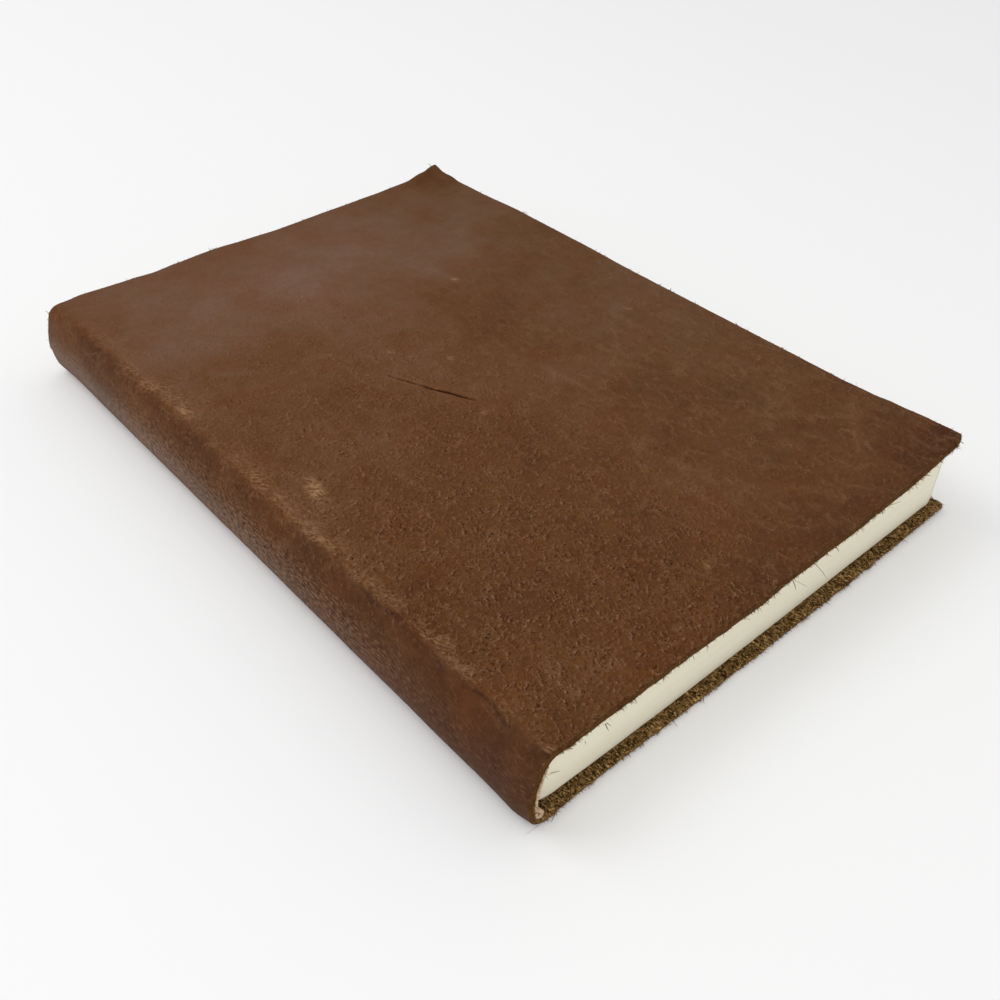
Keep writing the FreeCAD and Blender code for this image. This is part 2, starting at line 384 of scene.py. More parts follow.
def scar_height(x, y):
    """Height of the scar's slit (below 0) and of its lips (above 0)."""
    share, off = scar_place(x, y)
    width = SCAR_WIDTH * (0.6 + 0.5 * hump(share, SCAR_DEEPEST, 0.2) + 0.4 * noise(share * 22, 0, 1, 71))
    depth = SCAR_DEPTH * (0.55 + 0.45 * hump(share, SCAR_DEEPEST, 0.25))
    off = off + 0.14 * noise(share * 15, 2, 1, 72)
    slit = -depth * hump(off, 0, width)
    lips = SCAR_LIP * (hump(off, 0.95, 0.5) + 0.8 * hump(off, -0.95, 0.5))
    return (slit + lips) * smooth(0, 0.1, share) * fade(0.9, 1, share)


def crease_height(x, y, reach, wander):
    """Heights of all the creases together, each with a reach to both sides of a line that
    strays by up to a wander."""
    total = np.zeros(np.shape(x))
    for number, (start, end, height) in enumerate(creases):
        length = math.dist(start, end)
        way = ((end[0] - start[0]) / length, (end[1] - start[1]) / length)
        along, off = beside_line(x, y, start, way)
        off += wander * noise(along, number * 7.3, 6, 53)
        ends = smooth(-3, 4, along) * fade(length - 4, length + 3, along)
        total += height * hump(off, 0, reach) * ends
    return total


def grain_relief(t, y):
    """Uneven thickness and slack of the hide, continuous round the spine."""
    broad = noises(t, y, (0.10, 31, 11), (0.06, 13, 12))
    fine = 0.030 * noise(t + 0.4 * y, y, 4.6, 13) + 0.018 * noise(t, y, 2.3, 14)
    return broad + fine


def ridge_wander(y):
    """How far the ridge beside the spine strays from its line."""
    return 0.7 * noise(y, 0, 9, 61) + 0.5 * noise(y, 3, 3, 62)


def fold_crease(t, y):
    """A thin broken crease on the spine's side of the ridge, towards the tail: 0 to 1. It is a
    shallow groove, and tone_field darkens it as painted shade.
    """
    off = t - (TOP_S - 1.9) - ridge_wander(y) - 0.3 * noise(y, 7, 1.7, 65)
    broken = np.clip(0.5 + 0.9 * noise(y, 5, 4, 66), 0, 1)
    return hump(off, 0, 0.4) * broken * fade(-55, -38, y)


def spine_shift(z, y):
    """How far the spine stands in from its CAD place: it leans slightly, its free tail end is
    drawn in, most of all halfway up, and its heel is drawn in between the ends."""
    lean = 0.1 - 0.3 * (y - TAIL_Y) / (HEAD_Y - TAIL_Y) + 0.2 * fade(0, 60, y - TAIL_Y)
    tuck = (1.1 + 0.25 * hump(z, 14, 6)) * fade(-1, 6, y - TAIL_Y)
    heel = 0.75 * fade(0, 7, z) * smooth(0, 14, y - TAIL_Y) * smooth(0, 12, HEAD_Y - y)
    return lean + tuck + heel


def back_lift(x, y):
    """The back cover's edges stand a hair off the table, more at the fore corners."""
    edge = np.maximum(fade(0, 9, y - TAIL_Y), fade(0, 9, FORE_X - x))
    tail_corner = hump(x, FORE_X, 16) * hump(y, TAIL_Y, 12)
    head_corner = hump(x, FORE_X, 14) * hump(y, HEAD_Y, 12)
    return 0.05 * edge + 0.4 * tail_corner + 0.3 * head_corner


def tail_swell(y, z):
    """How much thicker the lining and its glue grow at the spine's tail end."""
    return 0.5 * fade(2, 14, y - TAIL_Y) * smooth(4, 7, z)


def worn_corners(path, s, y):
    """s and y with a cover's two corners at the fore-edge worn round."""
    for edge_y, way in ((TAIL_Y, 1), (HEAD_Y, -1)):
        radius = FRONT_TAIL_RADIUS if path.hand > 0 and way > 0 else CORNER_RADIUS
        p = (s - (path.length - radius)) / radius
        q = 1 - way * (y - edge_y) / radius
        inside = (p > 0) & (q > 0)
        round_p = p * np.sqrt(1 - q * q / 2 * inside)
        round_q = q * np.sqrt(1 - p * p / 2 * inside)
        s = np.where(inside, path.length - radius * (1 - round_p), s)
        y = np.where(inside, edge_y + way * radius * (1 - round_q), y)
    return s, y


def raw_cuts(path, s, y, w):
    """s and y with the knife's wandering cut, and edges that part through the thickness."""
    from_tail, from_head, from_fore = y - TAIL_Y, HEAD_Y - y, path.length - s
    # the grain side rolls over the cut, the flesh side is only dulled
    rim = (0.5 * np.clip(1 - w / ROLLED, 0, 1) ** 2
           + 0.12 * np.clip((w - ROLLED) / (1 - ROLLED), 0, 1) ** 2)
    tail_cut = 0.10 * noise(s, 0, 2.4, 21) + 0.06 * noise(s, w * 4, 0.8, 22) + rim
    head_cut = 0.12 * noise(s, 5, 3.1, 23) + 0.06 * noise(s, w * 4, 0.8, 24) - rim
    fore_cut = 0.10 * noise(y, 9, 2.7, 25) + 0.06 * noise(y, w * 4, 0.9, 26) - rim
    tail_forms = front_tail_forms if path.hand > 0 else back_tail_forms
    fore_forms = front_fore_forms if path.hand > 0 else back_fore_forms
    y = y - curve(tail_forms, path.flat_x(s)) * fade(0, CUT_REACH, from_tail)
    y += tail_cut * fade(0, RIM_REACH, from_tail) + head_cut * fade(0, RIM_REACH, from_head)
    s = s + curve(fore_forms, y) * fade(0, CUT_REACH, from_fore)
    s += fore_cut * fade(0, RIM_REACH, from_fore)
    return s, y


def wrap(path, hide_s, hide_y, w):
    """Where the leather lies. hide_s is the distance on the hide from the middle of the spine,
    hide_y the distance along it, w 0 on the grain side and 1 on the flesh side."""
    t = path.hand * hide_s
    front = path.hand > 0
    worn_s, worn_y = worn_corners(path, hide_s, hide_y)
    s, y = raw_cuts(path, worn_s, worn_y, w)
    x, z, normal_x, normal_z = path.at(np.clip(s, 0, path.length))
    x = x + np.clip(s - path.length, 0, None)

    depth = w * (LEATHER + 0.08 * noise(t, hide_y, 9, 31))
    relief = grain_relief(t, hide_y) * (1 - w)
    relief += noises(t, hide_y, (0.10, 1.7, 33), (0.07, 0.9, 34)) * w * 0.6
    if front:
        marks = scar_height(x, y) + crease_height(x, y, 0.8, 0.9)
        relief += marks * smooth(TOP_S, TOP_S + 3, s) * (1 - w)
        relief -= 0.08 * fold_crease(t, hide_y) * (1 - w)
    else:
        change = curve(back_thickness, path.flat_x(worn_s))
        depth += w * change * fade(4, 16, hide_y - TAIL_Y)
    x = x + normal_x * (relief - depth)
    z = z + normal_z * (relief - depth)

    if front:
        z = z + front_lift(x, y)
        on_spine = fade(TOP_S - 3, TOP_S + 4, s)
        flare = (0.3 + 0.8 * hump(s, SHOULDER_S + 1.5, 3.5)) * smooth(HEAD_Y - 14, HEAD_Y, y)
    else:
        z = np.maximum(z, 0) + back_lift(x, y) * smooth(BASE_S - 2, BASE_S + 4, s)
        on_spine = fade(BASE_S - 3, BASE_S + 3, s)
        flare = 0
    x = x + (spine_shift(z, y) + normal_x * flare) * on_spine
    z = z + normal_z * flare * on_spine
    return np.stack([x, y, z], -1)


# ---------------- fields for the materials

# In this section t is the distance round the hide from the middle of the spine, plus towards
# the front cover.

# Tone along the notebook, by y: 0 is the plain brown, 1 pale and -1 deep. On the spine the deep
# tone is partly the hide's and partly painted shade on the spine's side, deepest at the tail; on
# the cover the pale grey head end is partly painted sheen.
cover_tones = ((-108, -0.65), (-92, -0.4), (-66, -0.25), (-35, -0.05), (13, 0), (39, 0.35), (66, 0.9),
               (92, 0.75), (108, 0.55))
spine_tones = ((-108, -1.15), (-95, -0.92), (-70, -0.62), (-45, -0.7), (-20, -0.85), (30, -0.85),
               (60, -0.55), (95, -0.15))
# Clouds on the front cover: change of tone, x and its reach, y and its reach
clouds = (
    (-0.1, 70, 14, 4, 36),
    (0.15, 6, 22, 84, 16),
    (0.45, 30, 14, 52, 14),
    (0.3, -54, 12, -44, 9),
    (0.25, -38, 18, 62, 22),
    (-0.35, -50, 12, 82, 11),
    (-0.35, 18, 22, 18, 20),
    (0.3, 66, 12, -84, 15),
    (-0.5, 72, 9, 101, 9),
    (-0.4, 24, 9, -56, 9),
)
# Strength of the fine grain, of the spine's streaks and of the rubbed ridge, by y
cover_grain = ((-60, 1), (-35, 0.92), (10, 0.66), (45, 0.42), (80, 0.24), (108, 0.2))
spine_grain = ((-108, 0.25), (-80, 0.3), (-40, 0.65), (0, 0.8), (40, 0.65), (80, 0.35))
spine_streaks = ((-108, 0.2), (-80, 0.3), (-40, 0.9), (0, 1), (40, 0.8), (80, 0.4), (108, 0.3))
ridge_rubs = ((TAIL_Y, 0.4), (-95, 0.5), (-70, 0.85), (-45, 0.7), (-20, 0.9), (5, 0.8), (20, 0.4),
              (38, 0.9), (60, 0.6), (80, 0.35), (HEAD_Y, 0.1))
# Strength of the lumps and veins, by a place that runs from the tail to the head's fore corner
cover_lumps = ((-20, 1), (10, 0.9), (45, 0.55), (80, 0.5), (105, 0.35), (140, 0.3))
# Rubbed specks: x, y, size
specks = ((-70.5, -106.9, 0.7), (-8.4, -16.5, 1.1), (-8.6, -93.7, 0.8), (-18.4, -81.9, 0.8),
          (59.5, -4.5, 1), (30.2, 43, 1.2), (1.2, 9.2, 0.9), (-7.3, -60.1, 0.8), (-9.9, 22.7, 0.8))


def cover_x(t):
    """x on the front cover."""
    return t - TOP_S + SHOULDER[0]


def on_cover(t, spine, cover):
    """The spine's value, changing to the cover's where the front cover begins."""
    share = smooth(TOP_S - 3, TOP_S + 1, t)
    return spine * (1 - share) + cover * share


def tone_field(t, y):
    """Broad lighter and darker places: the hide's own tone, with painted light in it, sheen at
    the cover's head end and shade on the spine's side, below the ridge and in its crease.
    """
    x = cover_x(t)
    cover = curve(cover_tones, y) - 0.55 * smooth(35, 76, x) * smooth(10, 60, y)
    for change, cloud_x, reach_x, cloud_y, reach_y in clouds:
        cover += change * hump(x, cloud_x, reach_x) * hump(y, cloud_y, reach_y)
    cover += CREASE_TONE * crease_height(x, y, 1.2, 0)
    tone = on_cover(t, curve(spine_tones, y), cover)
    tone += noises(t, y, (0.4, 44, 41), (0.22, 19, 42), (0.16, 8, 43))
    # painted shade: a darker band below the ridge beside the spine, and the crease darkened
    shade_under_ridge = hump(t, SHOULDER_S + 0.7, 2.3)
    return tone - 0.15 * shade_under_ridge - fold_crease(t, y)


def grain_field(t, y):
    """Strength of the fine grain: strong towards the spine and the tail, weak towards the head."""
    cover = curve(cover_grain, y) * (1.22 - 0.74 * smooth(-25, 25, cover_x(t)))
    return on_cover(t, curve(spine_grain, y), cover)


def coarse_field(t, y):
    """Strength of the lumps and veins of a few millimetres."""
    place = y + 0.5 * np.clip(cover_x(t) + 10, 0, None)
    return on_cover(t, 0.35 + 0.6 * smooth(-100, 0, y), curve(cover_lumps, place))


def olive_field(t, y):
    """How far the front cover turns from red towards olive at its fore-edge: 0 to 1."""
    return smooth(TOP_S + 75, TOP_S + 135, t) * smooth(-100, -70, y)


def streak_field(t, y):
    """Strength of the fine streaks along the spine."""
    return curve(spine_streaks, y) * fade(3, 12, t) * smooth(-12, -6, t)


def painted_sheen_field(t, y):
    """How much painted sheen, a grey reflection of the pale table, lies along the middle of the
    spine: 0 to 1.
    """
    return fade(0, 7, np.abs(t)) * smooth(-80, 40, y)


def rub_field(t, y):
    """Where the front half is rubbed pale: the ridge beside the spine and a soft skirt beside
    it, one patch and a few specks."""
    x = cover_x(t)
    along = curve(ridge_rubs, y)
    wander = ridge_wander(y)
    off = t - TOP_S - 0.2 - wander
    reach = np.where(off < 0, 1.3 + 1.6 * smooth(10, 60, y), 2.6)
    uneven = 0.75 + 0.55 * noise(t * 1.3, y, 3.6, 63) + 0.45 * noise(t, y, 9, 67)
    ridge = 0.65 * hump(off, 0, reach) * along * np.clip(uneven, 0, None)
    skirt = 0.3 * smooth(-70, -10, y) * hump(t, TOP_S + 5 + wander, 5) * along
    skirt *= 0.6 + 0.6 * noise(t, y, 6, 64)
    patch = 1.5 * hump(x, -60.4 + 0.2 * (y + 14.3), 1.8) * hump(y, -14.3, 4.6)
    spots = sum(0.9 * hump(x, spot_x, size) * hump(y, spot_y, size * 1.3)
                for spot_x, spot_y, size in specks)
    return np.clip(ridge + skirt + patch + spots, 0, 1.6)


# ---------------- materials


def tint(red, green, blue):
    """Linear colour from display values of 0 to 255."""
    channels = [value / 255 for value in (red, green, blue)]
    return tuple(c / 12.92 if c <= 0.04045 else ((c + 0.055) / 1.055) ** 2.4
                 for c in channels) + (1.0,)


class Finish:
    """A material with a Principled shader, the colour painted so far, and short ways to add
    nodes. Colours are display values, patterns have sizes in millimetres."""

    def __init__(self, name, rgb):
        self.material = bpy.data.materials.new(name)
        self.material.use_nodes = True
        self.tree = self.material.node_tree
        self.shader = self.tree.nodes["Principled BSDF"]
        self.colour = tint(*rgb)

    def fill(self, node, inputs):
        """Gives a node its inputs, each a constant or another node's output."""
        for key, value in inputs.items():
            if isinstance(value, bpy.types.NodeSocket):
                self.tree.links.new(value, node.inputs[key])
            else:
                node.inputs[key].default_value = value

    def add(self, kind, inputs, output=0, **settings):
        """One output of a new node with these inputs and settings."""
        node = self.tree.nodes.new(kind)
        for key, value in settings.items():
            setattr(node, key, value)
        self.fill(node, inputs)
        return node.outputs[output]

    def surface(self):
        """The hide's own coordinates, in metres."""
        return self.add("ShaderNodeUVMap", {}, uv_map="UVMap")

    def body(self):
        """The piece's own coordinates, in metres."""
        return self.add("ShaderNodeTexCoord", {}, "Object")

    def field(self, name):
        """A named point field of the mesh."""
        return self.add("ShaderNodeAttribute", {}, "Fac", attribute_name=name)

    def mapped(self, vector, kind="POINT", **inputs):
        """Coordinates through a mapping with a Location, Rotation or Scale."""
        return self.add("ShaderNodeMapping", {"Vector": vector, **inputs}, vector_type=kind)

    def stretch(self, vector, longer, turn):
        """Coordinates in which a pattern comes out longer along the way turned from +X to +Y."""
        rotation = (0, 0, math.radians(turn))
        return self.mapped(vector, "TEXTURE", Scale=(longer, 1, 1), Rotation=rotation)

    def noise(self, vector, size, detail=2, roughness=0.5, distortion=0, output=0):
        """Noise with lumps of a size, about 0 to 1."""
        inputs = {"Vector": vector, "Scale": 1 / (size * MM), "Detail": detail,
                  "Roughness": roughness, "Distortion": distortion}
        return self.add("ShaderNodeTexNoise", inputs, output)

    def cell_edges(self, vector, size):
        """Distance from the edges between cells of a size."""
        inputs = {"Vector": vector, "Scale": 1 / (size * MM)}
        return self.add("ShaderNodeTexVoronoi", inputs, feature="DISTANCE_TO_EDGE")

    def pushed(self, vector, size, detail, amount):
        """Coordinates pushed about by a noise of a size."""
        colour = self.noise(vector, size, detail, output="Color")
        centred = self.add("ShaderNodeVectorMath", {0: colour, 1: (0.5, 0.5, 0.5)},
                           operation="SUBTRACT")
        push = self.add("ShaderNodeVectorMath", {0: centred, 3: amount * MM}, operation="SCALE")
        return self.add("ShaderNodeVectorMath", {0: vector, 1: push})

    def plus(self, first, second):
        """Sum of two numbers."""
        return self.add("ShaderNodeMath", {0: first, 1: second})

    def times(self, first, second):
        """Product of two numbers."""
        return self.add("ShaderNodeMath", {0: first, 1: second}, operation="MULTIPLY")

    def span(self, value, low, high, to_low=0, to_high=1):
        """A number from one range to another, held within it."""
        return self.add("ShaderNodeMapRange", {0: value, 1: low, 2: high, 3: to_low, 4: to_high})

    def paint(self, share, rgb, mode="MIX"):
        """Lays a colour over the colour so far, by a share."""
        self.colour = self.add("ShaderNodeMix", {0: share, 6: self.colour, 7: tint(*rgb)}, 2,
                               data_type="RGBA", blend_type=mode, clamp_factor=True)

    def bump(self, height, depth, strength):
        """Normal from a height of 0 to 1 that stands for a depth."""
        return self.add("ShaderNodeBump", {"Height": height, "Distance": depth * MM,
                                           "Strength": strength})

    def done(self, roughness, specular, normal=None):
        """Joins the results to the shader and gives the material."""
        self.fill(self.shader, {"Base Color": self.colour, "Roughness": roughness,
                                "Specular IOR Level": specular})
        if normal is not None:
            self.fill(self.shader, {"Normal": normal})
        return self.material


def grain_leather():
    """Grain side: brown hide with a cloudy tone, short raised flecks with dark sides, pits and
    pale veins, streaks on the spine and a painted grey sheen along it, rubbed places, the scar
    and worn edges. The light flecks and their dark sides are partly the grain's own speckle and
    partly painted highlight and painted shade, as if the raised grain were lit from one side;
    the scar's slit is painted dark as painted shade."""
    f = Finish("grain_leather", (61, 34, 21))
    hide = f.surface()
    wavy = f.pushed(hide, 3, 2, 2)
    beside = f.mapped(wavy, Location=(-0.25 * MM, 0.4 * MM, 0))
    flecks = f.noise(f.stretch(wavy, 1.35, 62), 1, 4, 0.75)
    # the flecks' dark sides: painted shade on the far side of each raised fleck, from a moved copy
    shades = f.noise(f.stretch(beside, 1.35, 62), 1, 4, 0.75)
    crossing = f.noise(f.stretch(wavy, 1.7, -28), 1, 4, 0.75)
    pits = f.noise(f.stretch(wavy, 1.6, 30), 0.5, 2, 0.6)
    streaks = f.noise(f.stretch(hide, 3.5, 84), 0.48, 3, 0.65)
    rubbing = f.noise(f.stretch(wavy, 2.4, 115), 0.7, 3, 0.65)
    veins = f.cell_edges(f.stretch(f.pushed(hide, 6, 3, 4.5), 3.2, 87), 4.5)
    lumps = f.noise(hide, 2.2)
    patches = f.noise(hide, 5.5)
    mottle = f.noise(hide, 5, 3, 0.55, 0.3)
    cloud = f.noise(hide, 36, 3)
    coarse, streak, edge = [f.field(name) for name in ("coarse", "streak", "edge")]
    grain = f.times(f.field("grain"), f.span(patches, 0.35, 0.65, 0.55, 1.25))

    # broad tones, then slight casts: redder, greener and, towards the fore-edge, less red
    tone = f.plus(f.field("tone"), f.span(cloud, 0.3, 0.7, -0.25, 0.25))
    tone = f.plus(tone, f.span(mottle, 0.3, 0.7, -0.2, 0.2))
    tone = f.plus(tone, f.times(f.span(lumps, 0.3, 0.7, -0.2, 0.2), coarse))
    f.paint(f.span(tone, -1.5, 0), (97, 62, 36))
    # towards its pale grey end this ramp also carries the painted sheen of the cover's head end
    f.paint(f.span(tone, 0, 1), (107, 77, 60))
    f.paint(f.span(tone, 1, 2), (119, 93, 84))
    f.paint(f.span(f.noise(hide, 15, 3), 0.45, 0.65), (255, 241, 232), "MULTIPLY")
    f.paint(f.span(f.noise(hide, 3.4), 0.5, 0.7), (249, 255, 232), "MULTIPLY")
    f.paint(f.field("olive"), (245, 254, 254), "MULTIPLY")

    # pale veins, then flecks, the ones across them, the flecks' dark sides and the pits; the light
    # flecks and their dark sides are partly the grain's own speckle, partly painted highlight and shade
    vein = f.times(f.times(f.span(veins, 0.10, 0), f.span(patches, 0.42, 0.6)), coarse)
    f.paint(f.times(vein, 0.26), (128, 98, 72))
    f.paint(grain, (255, 249, 230), "MULTIPLY")
    for pattern, low, high, share, rgb in ((flecks, 0.53, 0.67, 0.6, (138, 102, 78)),
                                           (crossing, 0.54, 0.74, 0.4, (136, 101, 78)),
                                           (shades, 0.52, 0.66, 0.7, (58, 28, 4)),
                                           (pits, 0.43, 0.29, 0.9, (52, 25, 4))):
        f.paint(f.times(f.times(f.span(pattern, low, high), grain), share), rgb)

    # the spine's painted grey sheen and its streaks, the rubbed places, the scar and the edges
    # painted sheen: grey added over the middle of the spine, in place of its reflection of the table
    f.paint(f.field("painted_sheen"), (64, 65, 62), "ADD")
    f.paint(f.times(f.span(streaks, 0.51, 0.62, 0, 0.7), streak), (140, 110, 88))
    f.paint(f.times(f.span(streaks, 0.49, 0.38), streak), (40, 25, 12))
    rubbed = f.times(f.field("rub"), f.span(rubbing, 0.42, 0.60, 0.1, 1.4))
    f.paint(f.span(rubbed, 0.08, 1.4, 0, 0.8), (158, 120, 86))
    # painted shade in the scar's slit, darkest where it is deepest
    scar = f.times(f.field("scar"), f.span(rubbing, 0.35, 0.6, 1.3, 0.6))
    f.paint(f.span(scar, 0.06, 0.6), (50, 21, 1))
    f.paint(f.span(f.field("lip"), 0.1, 1, 0, 0.3), (120, 78, 52))
    worn = f.plus(edge, f.span(mottle, 0.3, 0.7, -0.25, 0.25))
    f.paint(f.span(worn, 0.4, 1, 0, 0.45), (80, 58, 32))
    teeth = f.plus(edge, f.span(rubbing, 0.42, 0.62, -0.5, 0.25))
    f.paint(f.span(teeth, 0.4, 0.75, 0, 0.75), (118, 98, 66))

    height = f.plus(f.span(flecks, 0.35, 0.75), f.times(f.span(crossing, 0.4, 0.75), 0.6))
    return f.done(0.55, 0.05, f.bump(f.times(height, grain), 0.06, 0.8))


def flesh_leather():
    """Flesh side: raw olive-tan suede with matted, speckled fibres."""
    f = Finish("flesh_leather", (122, 90, 48))
    hide = f.surface()
    matted = f.noise(f.stretch(hide, 2.4, 84), 0.55, 3, 0.7)
    clumps = f.noise(hide, 1.5, 3, 0.65, 0.6)
    f.paint(f.span(f.noise(hide, 14), 0.35, 0.65), (140, 106, 62))
    f.paint(f.span(clumps, 0.54, 0.38, 0, 0.9), (54, 34, 12))
    f.paint(f.span(matted, 0.52, 0.63), (216, 178, 122))
    f.paint(f.span(matted, 0.47, 0.36), (36, 22, 8))
    height = f.plus(matted, f.times(clumps, 0.8))
    return f.done(0.95, 0.05, f.bump(height, 0.4, 0.8))


def cut_leather():
    """The raw cut: brown where the grain rolls over it, a dark line, then olive fibres. On the
    back cover the dark line spreads over the cut's lowest third as painted shadow along the table.
    """
    f = Finish("cut_leather", (62, 43, 17))
    hide = f.surface()
    strands = f.noise(hide, 0.3, 3, 0.7)
    clumps = f.noise(hide, 1, 2, 0.6)
    depth = f.plus(f.field("depth"), f.span(clumps, 0.3, 0.7, -0.06, 0.06))
    f.paint(f.span(strands, 0.36, 0.62), (150, 118, 70))
    f.paint(f.span(clumps, 0.48, 0.34, 0, 0.6), (44, 28, 10))
    # the dark line; on the back cover it is painted shadow along the table
    f.paint(f.span(depth, 0.70, 0.56), (34, 21, 8))
    f.paint(f.span(depth, 0.60, 0.46), (92, 60, 32))
    return f.done(0.95, 0.05, f.bump(strands, 0.25, 0.8))


def fibre_leather():
    """Loose fibres, each of its own tint."""
    f = Finish("fibre_leather", (46, 30, 11))
    shade = f.field("shade")
    f.paint(f.span(shade, 0, 0.5), (112, 82, 42))
    f.paint(f.span(shade, 0.5, 1), (188, 152, 100))
    return f.done(0.9, 0.08)


def page_edges():
    """Cut edges of many cream sheets: thin layers that hardly show."""
    f = Finish("page_edges", (235, 229, 205))
    place = f.body()
    layers = f.noise(f.mapped(place, Scale=(0.01, 0.01, 1)), 0.28, 3, 0.7)
    bands = f.noise(f.mapped(place, Scale=(0.02, 0.02, 1)), 1.6)
    f.paint(f.span(bands, 0.3, 0.7), (239, 234, 212))
    f.paint(f.span(layers, 0.46, 0.30, 0, 0.12), (206, 195, 168))
    f.paint(f.span(f.noise(place, 9), 0.55, 0.75, 0, 0.2), (234, 224, 196))
    return f.done(0.8, 0.2, f.bump(layers, 0.03, 0.5))


def page_paper():
    """Flat face of the first and last sheets: cream paper with a soft tooth."""
    f = Finish("page_paper", (236, 229, 206))
    place = f.body()
    tooth = f.noise(place, 0.35, 3, 0.6)
    f.paint(f.span(f.noise(place, 26, 3), 0.3, 0.7), (242, 236, 215))
    f.paint(f.span(tooth, 0.40, 0.26, 0, 0.15), (214, 203, 174))
    return f.done(0.85, 0.2, f.bump(tooth, 0.03, 0.5))


def lining_cloth():
    """The spine's lining: thin tan-pink stuff with a fine weave."""
    f = Finish("lining_cloth", (196, 166, 136))
    hide = f.surface()
    threads = {"Vector": hide, "Scale": 1 / (4.4 * MM), "Distortion": 0.6, "Detail": 1}
    warp, weft = [f.add("ShaderNodeTexWave", threads, "Fac", bands_direction=way)
                  for way in ("X", "Y")]
    weave = f.times(warp, weft)
    f.paint(f.span(f.noise(hide, 3), 0.3, 0.7), (208, 180, 152))
    f.paint(f.span(weave, 0.3, 0, 0, 0.3), (150, 118, 88))
    return f.done(0.9, 0.1, f.bump(weave, 0.08, 0.6))


# ---------------- leather pieces

GRAIN, FLESH, CUT, FIBRE = grain_leather(), flesh_leather(), cut_leather(), fibre_leather()


def leather_half(name, path, columns, rows):
    """One half of the wrap, from the middle of the spine round to the fore-edge."""
    front = path.hand > 0
    (s, y, w), quads, sides = lattice(columns, rows, THROUGH)
    if front:
        move_x, move_y = gather_at_scar(path.flat_x(s), y)
        on_grain = (1 - w) * smooth(TOP_S + 10, TOP_S + 20, s)
        s, y = s + move_x * on_grain, y + move_y * on_grain
        quads = quads[:, ::-1]
    points = wrap(path, s, y, w)
    t = path.hand * s
    scar = scar_height(path.flat_x(s), y) * front
    to_edge = np.minimum(np.minimum(y - TAIL_Y, HEAD_Y - y), path.length - s)
    fields = {
        "tone": tone_field(t, y),
        "grain": grain_field(t, y),
        "coarse": coarse_field(t, y),
        "olive": olive_field(t, y),
        "streak": streak_field(t, y),
        "painted_sheen": painted_sheen_field(t, y),
        "rub": rub_field(t, y) if front else 0.25 * hump(s, BASE_S - 2, 2),
        "scar": np.clip(-scar / SCAR_DEPTH, 0, 1),
        "lip": np.clip(scar / SCAR_LIP, 0, 1),
        "edge": np.exp(-to_edge / EDGE_REACH),
        # away from the spine, the back cover's cut is fibres from the grain side on, with no rolled
        # brown; its lowest third is painted dark, as painted shadow where it meets the table
        "depth": w if front else w + (0.6 - 0.7 * w) * smooth(6, 12, s),
    }
    uv = np.stack([t, y], 1) + UV_SHIFT
    thing = make_object(name, points, quads, (GRAIN, FLESH, CUT), sides, uv, fields)
    return thing


def blend_at(thing, hinge, centre):
    """Works out the way from a leather half's hinge line towards its fold's centre, which nothing
    uses, and bakes the half's transform into its mesh.
    """
    pivot = HINGES[hinge]
    radial = np.array([pivot[0] - centre[0] * MM, 0.0, pivot[2] - centre[1] * MM])
    radial /= np.linalg.norm(radial)
    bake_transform(thing)


def make_leather():
    """Both halves of the wrap, with mesh lines closest at the edges, folds and spine's middle."""
    rows = graded((TAIL_Y, 0.35), (TAIL_Y + 2.5, 0.45), (TAIL_Y + 8, 0.95),
                  (HEAD_Y - 8, 1), (HEAD_Y - 2.5, 0.5), (HEAD_Y, 0.4))
    fore = front_path.length
    columns = graded((0, 0.2), (0.6, 0.3), (2, 0.8), (9, 0.7), (11.5, 0.36), (15.5, 0.36),
                     (19, 0.8), (30, 1), (fore - 8, 1), (fore - 2.5, 0.45), (fore, 0.35))
    front = leather_half("front_leather", front_path, columns, rows)
    fore = back_path.length
    columns = graded((0, 0.2), (0.6, 0.3), (2, 0.8), (5.5, 0.45), (8, 0.36), (11.5, 0.36),
                     (15, 1), (30, 1.7), (fore - 10, 1.7), (fore - 2.5, 0.6), (fore, 0.35))
    back = leather_half("back_leather", back_path, columns, rows)
    blend_at(front, "front_hinge", SHOULDER)
    blend_at(back, "back_hinge", HEEL)
    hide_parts("spine_leather", "front_cover")
    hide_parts("back_cover")


# ---------------- pages and lining


def block_side(z):
    """x of the page block's rounded spine side at height z."""
    corner = FOLD_RADIUS - PAGES_INSET
    corner_centre = fold_centre(corner, PAGES_ROUND, pages_high[2] - corner)
    corner_start = bearing(SPINE_CENTRE, corner_centre)
    heel_end = bearing(SPINE_CENTRE, BLOCK_HEEL)
    line = np.concatenate([arc(BLOCK_HEEL, BLOCK_HEEL_RADIUS, 270, heel_end),
                           arc(SPINE_CENTRE, PAGES_ROUND, heel_end, corner_start),
                           arc(corner_centre, corner, corner_start, 90)])
    return np.interp(z, line[:, 1], line[:, 0])


def sheet_steps(z, place, seed):
    """How far the sheets stand out at a cut edge, by their height: slight uneven steps."""
    return (0.02 * noise(z, place * 0.02, 0.32, seed)
            + 0.04 * noise(z, place * 0.03, 1.3, seed + 1) - 0.04)


